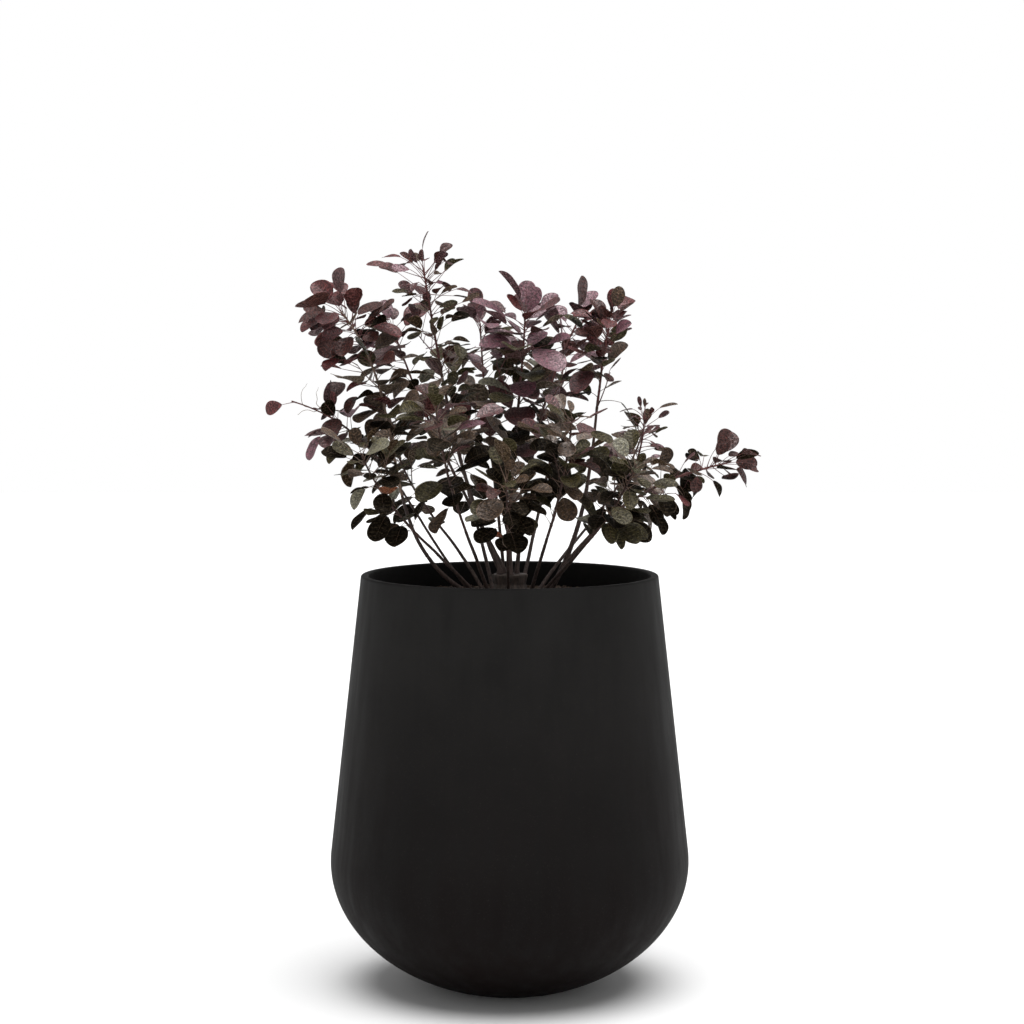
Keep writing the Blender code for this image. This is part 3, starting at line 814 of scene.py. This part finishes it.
class Spaces:
    """The space of each mass: all that lies nearer to its own shoot than to any other."""

    def __init__(self, lines):
        self.lines = [np.array(line[::FINE]) for line in lines]
        self.low = np.array(cad_low) + BOX_MARGIN
        self.high = np.array(cad_high) - BOX_MARGIN

    def holds(self, index, corners):
        places = np.array(corners)
        if places[:, 2].min() < LOWEST_FOLIAGE:
            return False
        if (places < self.low).any() or (places > self.high).any():
            return False
        reach = [np.linalg.norm(places[:, None] - line[None], axis=2).min(axis=1) for line in self.lines]
        own = reach.pop(index)
        return bool((own + SPACE_MARGIN < np.min(reach, axis=0)).all())


class Mass:
    """What one mass of foliage needs while it grows."""

    def __init__(self, shoot, index, spaces):
        self.shoot = shoot
        self.index = index
        self.spaces = spaces
        self.chance = random.Random(shoot.seed)
        self.grown = []
        self.leaves = []
        self.twigs = []

    def is_free(self, rings, tip):
        """True where a leaf crosses no other leaf of this mass, and then it counts as grown."""
        corners = [point for ring in rings for point in ring] + [tip]
        faces = []
        for ring in range(len(rings) - 1):
            for i in range(3):
                j = (i + 1) % 3
                faces.append((3 * ring + i, 3 * ring + j, 3 * ring + 3 + j, 3 * ring + 3 + i))
        last = 3 * (len(rings) - 1)
        faces += [(last, last + 1, len(corners) - 1), (last + 1, last + 2, len(corners) - 1)]
        tree = BVHTree.FromPolygons(corners, faces)
        if any(tree.overlap(other) for other in self.grown):
            return False
        self.grown.append(tree)
        return True

    def takes(self, leaf):
        """True where a leaf keeps to this mass's space, and clear of the sky and the other leaves."""
        rings, tip = leaf_rings(leaf)
        corners = [point for ring in rings[1:] for point in ring] + [tip]
        return self.spaces.holds(self.index, corners) and not hides_sky(leaf) and self.is_free(rings, tip)


def seen_place(point):
    """Where the camera sees a point on the plane through the planter's axis: across and up."""
    nearer = CAMERA_PLACE[1] / (CAMERA_PLACE[1] - point.y)
    return point.x * nearer, CAMERA_PLACE[2] + (point.z - CAMERA_PLACE[2]) * nearer


def hides_sky(leaf):
    """True where a blade stands in front of the open sky."""
    spots = [blade_spot(leaf, y, x * leaf.width) for y in SPOTS_ALONG for x in SPOTS_ACROSS]
    places = np.array([seen_place(spot) for spot in spots])
    gaps = np.array(SKY)
    reach = np.linalg.norm(places[:, None] - gaps[None, :, :2], axis=2)
    return bool((reach < gaps[:, 2]).any())


def pick_tint(mass, root, rank):
    """Young leaves have the shoot's own tints. Old ones are browner, and darkest low down, which is partly
    painted shade.
    """
    young = mass.chance.uniform(*SHADE_RANK) < rank
    deep = mass.chance.uniform(*DEEP_HEIGHTS) > root.z
    spray = SPRAYS[mass.shoot.young if young else "deep" if deep else "middle"]
    names = [name for name, _ in spray]
    return mass.chance.choices(names, [weight for _, weight in spray])[0]


def leaf_shape(chance):
    """How one blade differs from the next: outline, fold, arch, cup, ripple and notch."""
    return (
        chance.uniform(*BLADE_BULGE),
        chance.uniform(*FOLD_RANGE),
        chance.uniform(*ARCH_RANGE) + (CURL if chance.random() < CURL_CHANCE else 0),
        chance.uniform(*CUP_RANGE),
        chance.uniform(*RIPPLE_RANGE),
        chance.uniform(0, 2 * math.pi),
        chance.uniform(*NOTCH_RANGE) if chance.random() < NOTCH_CHANCE else 0,
    )


def crown_side(place):
    """The way out of the crown at a place, longer further out."""
    return Vector((place.x, place.y, 0)) / CROWN_RADIUS


def grow_leaf(mass, root, direction, bearing, rank, size, spread=None, stalk=None):
    """One leaf on a stem or twig. It turns and shortens until it fits its space, or is left out."""
    if spread is None:
        spread = RISE_AT_FOOT + (RISE_AT_TIP - RISE_AT_FOOT) * rank
        stalk = PETIOLE_SHARE + PETIOLE_GAIN * rank
    chance = mass.chance
    loose_share = 1 if mass.shoot.name in LOOSE_SHOOTS else LEVEL_SHARE
    nod_share = loose_share * (TIP_NOD if spread == 0 else 1)
    across = direction.orthogonal().normalized()
    along = direction.cross(across)
    for attempt in range(LEAF_TRIES):
        turn = bearing + attempt * TRY_TURN * (-1) ** attempt
        outward = across * math.cos(turn) + along * math.sin(turn)
        rise = math.radians(spread + chance.uniform(-RISE_CHANCE, RISE_CHANCE) - TRY_RISE * attempt)
        aim = (direction * math.cos(rise) + outward * math.sin(rise)).normalized()
        length = size * chance.uniform(*LENGTH_RANGE) * (1 - TRY_SHORTER * attempt)
        petiole = length * stalk * mass.shoot.stalk * chance.uniform(*PETIOLE_RANGE)
        neck = root + aim * (petiole * (1 - TRY_PETIOLE * attempt))
        width = length * mass.shoot.leaf_width * chance.uniform(*WIDTH_RANGE)
        loose = Vector((chance.uniform(-1, 1), chance.uniform(-1, 1), chance.uniform(*TILT_RISE)))
        normal = UP + (LIGHT_LEAN + crown_side(root) * OUTWARD_LEAN + loose * TILT_SHARE) * loose_share
        side = aim.cross(normal).normalized()
        blade = Matrix.Rotation(math.radians(chance.uniform(*NOD_RANGE)) * nod_share, 3, side) @ aim
        face = side.cross(blade).normalized()
        tint = pick_tint(mass, root, rank)
        shape = leaf_shape(chance)
        leaf = Leaf(root, neck, aim, blade, side, face, length, width, rank, tint, shape)
        if mass.takes(leaf):
            mass.leaves.append(leaf)
            return


def grow_twig(mass, line, share, rank):
    """A side twig with its own few leaves."""
    chance = mass.chance
    root, direction = point_on(line, share)
    size = mass.shoot.leaf_length
    for _ in range(LEAF_TRIES):
        turn = chance.uniform(0, 2 * math.pi)
        across = direction.orthogonal().normalized()
        outward = across * math.cos(turn) + direction.cross(across) * math.sin(turn)
        aim = (direction + outward * chance.uniform(*TWIG_SPREAD)).normalized()
        length = size * chance.uniform(*TWIG_LENGTHS)
        middle = root + aim * length * TWIG_BEND
        tip = middle + (aim + UP * TWIG_RISE).normalized() * length * (1 - TWIG_BEND)
        if mass.spaces.holds(mass.index, [middle, tip]):
            break
    else:
        return
    points = [root, middle, tip]
    mass.twigs.append(points)
    first, reach = TWIG_LEAF_SPAN
    for number in range(TWIG_LEAVES):
        place = first + reach * number / (TWIG_LEAVES - 1)
        spot, ahead = point_on(points, place)
        bearing = number * GOLDEN_ANGLE + chance.uniform(-BEARING_CHANCE, BEARING_CHANCE)
        grow_leaf(mass, spot, ahead, bearing, max(rank, place), size * TWIG_LEAF_SIZE)


def grow_whorl(mass, line, bearing):
    """The leaves that crowd round the tip of a shoot, from nearly upright to drooping."""
    shoot, chance = mass.shoot, mass.chance
    length = (line[-1] - line[0]).length
    least, most = WHORL_RISE
    for number in range(shoot.whorl):
        share = 1 - WHORL_LENGTH / length * (number + WHORL_START) / shoot.whorl
        spread = least + (most - least) * (number + chance.uniform(0, 1)) / shoot.whorl
        size = shoot.leaf_length * chance.uniform(*WHORL_SIZES)
        root, ahead = point_on(line, share)
        turn = bearing + number * GOLDEN_ANGLE
        grow_leaf(mass, root, ahead, turn, 1, size, spread, WHORL_PETIOLE)


def turn_to_light(mass):
    """Turns the first blade, at the shoot's tip, about its midrib so that its face meets the light."""
    leaf = mass.leaves[0]
    side = leaf.blade.cross(TIP_LIGHT).normalized()
    leaf = leaf._replace(side=side, face=side.cross(leaf.blade).normalized())
    before = mass.grown.pop(0)
    if mass.takes(leaf):
        mass.leaves[0] = leaf
    else:
        mass.grown.insert(0, before)


def grow_foliage(shoot, index, spaces, line):
    """One mass of foliage: side twigs and leaves along the shoot's leafy length."""
    mass = Mass(shoot, index, spaces)
    start = cut_share(shoot)
    bearing = mass.chance.uniform(0, 2 * math.pi)
    place, size, stalk, dip = LONE_LEAVES.get(shoot.name, TIP_LEAF)
    root, ahead = point_on(line, place)
    ahead = (ahead - UP * dip).normalized()
    grow_leaf(mass, root, ahead, bearing, 1, shoot.leaf_length * size, 0, stalk)
    grow_whorl(mass, line, bearing)
    first, last = SPANS.get(shoot.name, (LOWEST_LEAF, HIGHEST_LEAF))
    for number in range(shoot.leaves)[::-1]:
        rank = (number + 0.5) / shoot.leaves
        share = first + (last - first) * rank**LEAF_CROWDING
        root, ahead = point_on(line, start + (1 - start) * share)
        bearing += GOLDEN_ANGLE + mass.chance.uniform(-BEARING_CHANCE, BEARING_CHANCE)
        size = shoot.leaf_length * (LOWEST_LEAF_SIZE - LEAF_SIZE_DROP * rank)
        grow_leaf(mass, root, ahead, bearing, rank, size)
    for _ in range(shoot.twigs):
        rank = mass.chance.uniform(*TWIG_PLACES)
        grow_twig(mass, line, start + (1 - start) * rank, rank)
    turn_to_light(mass)
    return mass


# Leaf blades and stalks as meshes


def row_place(number):
    """The share of a blade's length at a row counted in veins, which crowd towards the tip."""
    return 1 - (1 - number / (VEINS + TIP_ROW)) ** VEIN_CROWDING


def blade_rows():
    """Rows of a blade from foot to tip: the share along, the way to a vein's edge, and if it is one."""
    rows = [(FIRST_ROW, 0, False)]
    for vein in range(VEINS):
        along = row_place(vein + VEIN_ROW)
        ahead = row_place(vein + BETWEEN_ROW)
        rows += [(along, -1, True), (along, 1, True), (ahead, 0, False)]
    return rows


def blade_mesh(leaf, rows):
    """A thin closed blade: obovate, folded at the midrib, arched, rippled and pleated along its veins."""
    bulge, _, _, _, ripple, phase, notch = leaf.shape
    top = [leaf.neck]
    bottom = []
    for along, edge, vein in rows:
        t = along + edge * VEIN_HALF_WIDTH / leaf.length
        for c in BLADE_COLUMNS:
            y = t + VEIN_SLANT * 4 * t * (1 - t) * abs(c)
            x = c * 0.5 * leaf.width * math.sin(math.pi * min(y, 0.999) ** bulge) ** BLADE_BLUNTNESS
            pleat = (-PLEAT if vein else PLEAT) * (1 - c * c) ** PLEAT_FADE * (c != 0)
            turn = RIPPLE_WAVES * y + phase + (RIPPLE_SHIFT if c > 0 else 0)
            wave = RIPPLE * leaf.length * ripple * math.sin(turn) * c * c
            lift = wave + pleat * math.sin(math.pi * y)
            top.append(blade_spot(leaf, y, x, lift))
            if abs(c) < 1:
                depth = BLADE_THICKNESS * (1 - MARGIN_THINNING * abs(c))
                bottom.append(blade_spot(leaf, y, x, lift - depth))
    top.append(blade_spot(leaf, 1, 0) - leaf.blade * notch * leaf.length)
    return top + bottom


def blade_faces(rows):
    """Faces of the closed blade, and the skin of each: 0 the face, 1 the back, 2 a vein or the margin."""
    columns = len(BLADE_COLUMNS)
    count = len(rows)
    tip = 1 + count * columns

    def upper(row, column):
        return 1 + row * columns + column

    def lower(row, column):
        if column in (0, columns - 1):
            return upper(row, column)
        return tip + 1 + row * (columns - 2) + column - 1

    faces = []
    slots = []
    for slot, corner in ((0, upper), (1, lower)):
        made = []
        for column in range(columns - 1):
            made.append(((0, corner(0, column + 1), corner(0, column)), slot))
            made.append(((tip, corner(count - 1, column), corner(count - 1, column + 1)), slot))
            for row in range(count - 1):
                a, b = corner(row, column), corner(row, column + 1)
                c, d = corner(row + 1, column + 1), corner(row + 1, column)
                on_vein = rows[row][1] == -1 and column in VEIN_COLUMNS or column in MARGIN_COLUMNS
                made.append(((a, b, c, d), 2 if on_vein else slot))
        faces += [face[::-1] if slot == 1 else face for face, _ in made]
        slots += [number for _, number in made]
    return faces, slots


def stalk_mesh(leaf):
    """The petiole and the midrib under the blade, as one thin tapering tube."""
    points = []
    radii = []
    foot, neck_radius, end = PETIOLE_RADII
    bend = (leaf.aim - leaf.blade) * (leaf.neck - leaf.root).length * PETIOLE_BEND
    for ring in range(STALK_RINGS):
        t = ring / (STALK_RINGS - 1)
        points.append(leaf.root.lerp(leaf.neck, t) + bend * math.sin(math.pi * t))
        radii.append(foot * (1 + PETIOLE_FOOT * (1 - t) ** 6) + (neck_radius - foot) * t)
    for ring in range(1, RIB_RINGS):
        y = RIB_REACH * ring / (RIB_RINGS - 1)
        points.append(blade_spot(leaf, y, 0, -0.5 * BLADE_THICKNESS))
        radii.append(neck_radius + (end - neck_radius) * y / RIB_REACH)
    return tube_mesh(points, radii, STALK_SIDES)


def make_leaves(masses):
    """All blades, joined by tint, and all stalks, joined by young and old."""
    rows = blade_rows()
    faces, slots = blade_faces(rows)
    heaps = {tint: Heap() for tint in TINTS}
    stalks = {"young": Heap(), "old": Heap()}
    for mass in masses:
        for leaf in mass.leaves:
            heaps[leaf.tint].add(blade_mesh(leaf, rows), faces, slots)
            red = leaf.rank > YOUNG_FROM and mass.shoot.young in RED_YOUNG
            stalks["young" if red else "old"].add(*stalk_mesh(leaf))
    for tint, heap in heaps.items():
        *colours, gloss = TINTS[tint]
        skins = []
        for (part, roughness, share), colour in zip(LEAF_SKINS, colours):
            skins.append(leaf_material(f"{tint}_{part}", colour, roughness, share * gloss))
        heap.piece(f"leaves_{tint}", skins, "foliage")
    for age, colour in (("young", (0.120, 0.036, 0.036)), ("old", (0.110, 0.062, 0.040))):
        stalks[age].piece(f"stalks_{age}", [stalk_material(f"{age}_stalk", colour)], "foliage")


# Stems


def swollen(radius, place, roots):
    """A stem's radius with a small swelling where each leaf or twig stands on it."""
    near = np.linalg.norm(roots - place, axis=1).min()
    return radius * (1 + NODE_SWELLING * math.exp(-((near / NODE_LENGTH) ** 2)))


def grained(point, across, along, shift=0):
    """Noise with one grain across a stem and another along it."""
    return noise.noise(Vector((point[0] * across, point[1] * across, point[2] * along + shift)))


def bark_relief(point):
    """Lengthwise ridges and small knobs of old bark, as a share of the radius."""
    return 0.10 * grained(point, 420, 60) + 0.08 * grained(point, 160, 120, 9)


def smooth_bark(point):
    return 0.04 * grained(point, 300, 90)


def make_stems(masses, lines):
    """Boughs with rough bark up to the leafy stems, which are brown below and red where young."""
    heaps = {"bough": Heap(), "stem": Heap(), "young": Heap(), "pale": Heap()}
    for mass, line in zip(masses, lines):
        start = cut_share(mass.shoot)
        count = len(line)
        cut = round(start * (count - 1))
        turn = round((start + (1 - start) * YOUNG_FROM) * (count - 1))
        roots = np.array([leaf.root for leaf in mass.leaves] + [twig[0] for twig in mass.twigs])
        brown = "pale" if mass.shoot.name in PALE_STEMS else "stem"
        red = brown if brown == "pale" or mass.shoot.young not in RED_YOUNG else "young"
        spans = (("bough", 0, cut, BARK_SIDES, bark_relief), (brown, cut, turn, STEM_SIDES, smooth_bark))
        spans += ((red, turn, count - 1, STEM_SIDES, None),)
        for kind, first, last, sides, relief in spans:
            points = line[first : last + 1]
            radii = [shoot_radius(mass.shoot, i / (count - 1)) for i in range(first, last + 1)]
            if kind != "bough":
                radii = [swollen(radius, np.array(point), roots) for radius, point in zip(radii, points)]
            heaps[kind].add(*tube_mesh(points, radii, sides, relief))
        for root, middle, tip in mass.twigs:
            steps = np.linspace(0, 1, TWIG_STEPS)
            smooth = [root.lerp(middle, t).lerp(middle.lerp(tip, t), t) for t in steps]
            radii = [TWIG_RADII[0] + (TWIG_RADII[1] - TWIG_RADII[0]) * t for t in steps]
            heaps[red].add(*tube_mesh(smooth, radii, STEM_SIDES - 2))
    bark = bark_material("old_bark", (0.018, 0.010, 0.008), (0.060, 0.034, 0.026), 260)
    brown = bark_material("stem_bark", (0.022, 0.010, 0.008), (0.070, 0.030, 0.022), 380)
    red = bark_material("young_bark", (0.050, 0.012, 0.012), (0.120, 0.034, 0.028), 420)
    boughs = [f"{mass.shoot.name}_bough" for mass in masses]
    foliage = [f"{mass.shoot.name}_foliage" for mass in masses]
    heaps["bough"].piece("boughs", [bark], "bark", boughs)
    heaps["stem"].piece("leafy_stems", [brown], "foliage", foliage)
    heaps["young"].piece("young_stems", [red], "foliage")
    tan = bark_material("tan_bark", (0.105, 0.066, 0.046), (0.270, 0.190, 0.140), 380)
    heaps["pale"].piece("pale_stems", [tan], "foliage")


def make_dead_twigs(lines):
    """Thin bare twigs that stand on the stems, swaying a little on the way to their tips."""
    index = {shoot.name: number for number, shoot in enumerate(SHOOTS)}
    heap = Heap()
    for number, (name, share, tip) in enumerate(DEAD_TWIGS):
        root, ahead = point_on(lines[index[name]], share)
        tip = Vector(tip)
        middle = root + ahead * (tip - root).length * TWIG_BEND
        points = []
        radii = []
        for t in np.linspace(0, 1, 2 * TWIG_STEPS):
            point = root.lerp(middle, t).lerp(middle.lerp(tip, t), t)
            push = sway(point, DEAD_GRAIN, number * DEAD_SHIFT) * DEAD_SWAY
            points.append(point + push * math.sin(math.pi * t))
            radii.append(TWIG_RADII[1] + (DEAD_TIP_RADIUS - TWIG_RADII[1]) * t)
        heap.add(*tube_mesh(points, radii, STEM_SIDES - 2))
    bark = bark_material("dead_bark", (0.090, 0.050, 0.026), (0.210, 0.130, 0.070), 300)
    heap.piece("dead_twigs", [bark], "foliage")


def make_stool():
    """The ridged and knobbly base that the inner shoots rise from, with its root flare."""
    base = SOIL_TOP + GAP
    levels = np.linspace(0, 1, STOOL_RINGS)
    radii = np.interp(levels, STOOL_LEVELS, STOOL_RADII)
    points = [(0, 0, base + STOOL_HEIGHT * level) for level in levels]

    def relief(point):
        bearing = math.atan2(point[1], point[0])
        spot = (math.cos(bearing), math.sin(bearing), point[2])
        return 0.12 * grained(spot, 2.2, 18) + 0.06 * grained(spot, 9, 60) - 0.05

    mesh = tube_mesh(points, radii, STOOL_SIDES, relief)
    bark = bark_material("stool_bark", (0.016, 0.010, 0.008), (0.060, 0.040, 0.030), 150)
    add_piece("woody_stool", *mesh, [bark], "bark", ["stool"])


# Setting


def make_floor():
    mesh = bpy.data.meshes.new("floor")
    corners = [(-FLOOR_REACH, -FLOOR_REACH, 0), (FLOOR_REACH, -FLOOR_REACH, 0)]
    corners += [(FLOOR_REACH, FLOOR_REACH, 0), (-FLOOR_REACH, FLOOR_REACH, 0)]
    mesh.from_pydata(corners, [], [(0, 1, 2, 3)])
    floor = add_object("floor", mesh)
    floor.location.z = -FLOOR_DROP
    mesh.materials.append(new_material("pale_floor", (FLOOR_SHADE, FLOOR_SHADE, FLOOR_SHADE), 0.9)[0])


def make_surround():
    """A white wall all round under a dimmer ceiling, so that the key light shapes the leaves."""
    world = bpy.data.worlds.new("surround")
    world.use_nodes = True
    tree = world.node_tree
    place = add_node(tree, "TexCoord")
    height = add_node(tree, "SeparateXYZ")
    tree.links.new(place.outputs["Generated"], height.inputs["Vector"])
    shade = mapped(tree, height.outputs["Z"], *WALL_TOP, 1, CEILING)
    tree.nodes["Background"].inputs["Color"].default_value = (1, 1, 1, 1)
    tree.links.new(shade, tree.nodes["Background"].inputs["Strength"])
    bpy.context.scene.world = world


def add_sun(name, bearing, rise, spread, strength):
    """A soft, far lamp: the bearing that it stands at, its height and its width in degrees."""
    data = bpy.data.lights.new(name, "SUN")
    data.angle = math.radians(spread)
    data.energy = strength
    lamp = add_object(name, data)
    away = heading(math.radians(bearing)) * math.cos(math.radians(rise)) + UP * math.sin(math.radians(rise))
    lamp.rotation_mode = "QUATERNION"
    lamp.rotation_quaternion = (-away).to_track_quat("-Z", "Y")


def make_camera():
    data = bpy.data.cameras.new("camera")
    data.sensor_width = SENSOR_WIDTH
    data.lens = SENSOR_WIDTH * FOCAL_PIXELS / IMAGE_SIZE
    data.shift_x = (IMAGE_SIZE / 2 - PLANTER_AXIS_PIXEL) / IMAGE_SIZE
    camera = add_object("camera", data)
    camera.location = CAMERA_PLACE
    camera.rotation_euler = (math.radians(90 - CAMERA_PITCH), 0, 0)
    bpy.context.scene.camera = camera


def main():
    make_camera()
    make_floor()
    make_surround()
    add_sun("key", *KEY_LIGHT)
    bpy.context.scene.view_settings.view_transform = "Standard"
    make_pot()
    make_soil()
    make_stool()
    lines = [shoot_line(shoot, index) for index, shoot in enumerate(SHOOTS)]
    spaces = Spaces(lines)
    masses = [grow_foliage(shoot, index, spaces, lines[index]) for index, shoot in enumerate(SHOOTS)]
    make_leaves(masses)
    make_stems(masses, lines)
    make_dead_twigs(lines)


main()
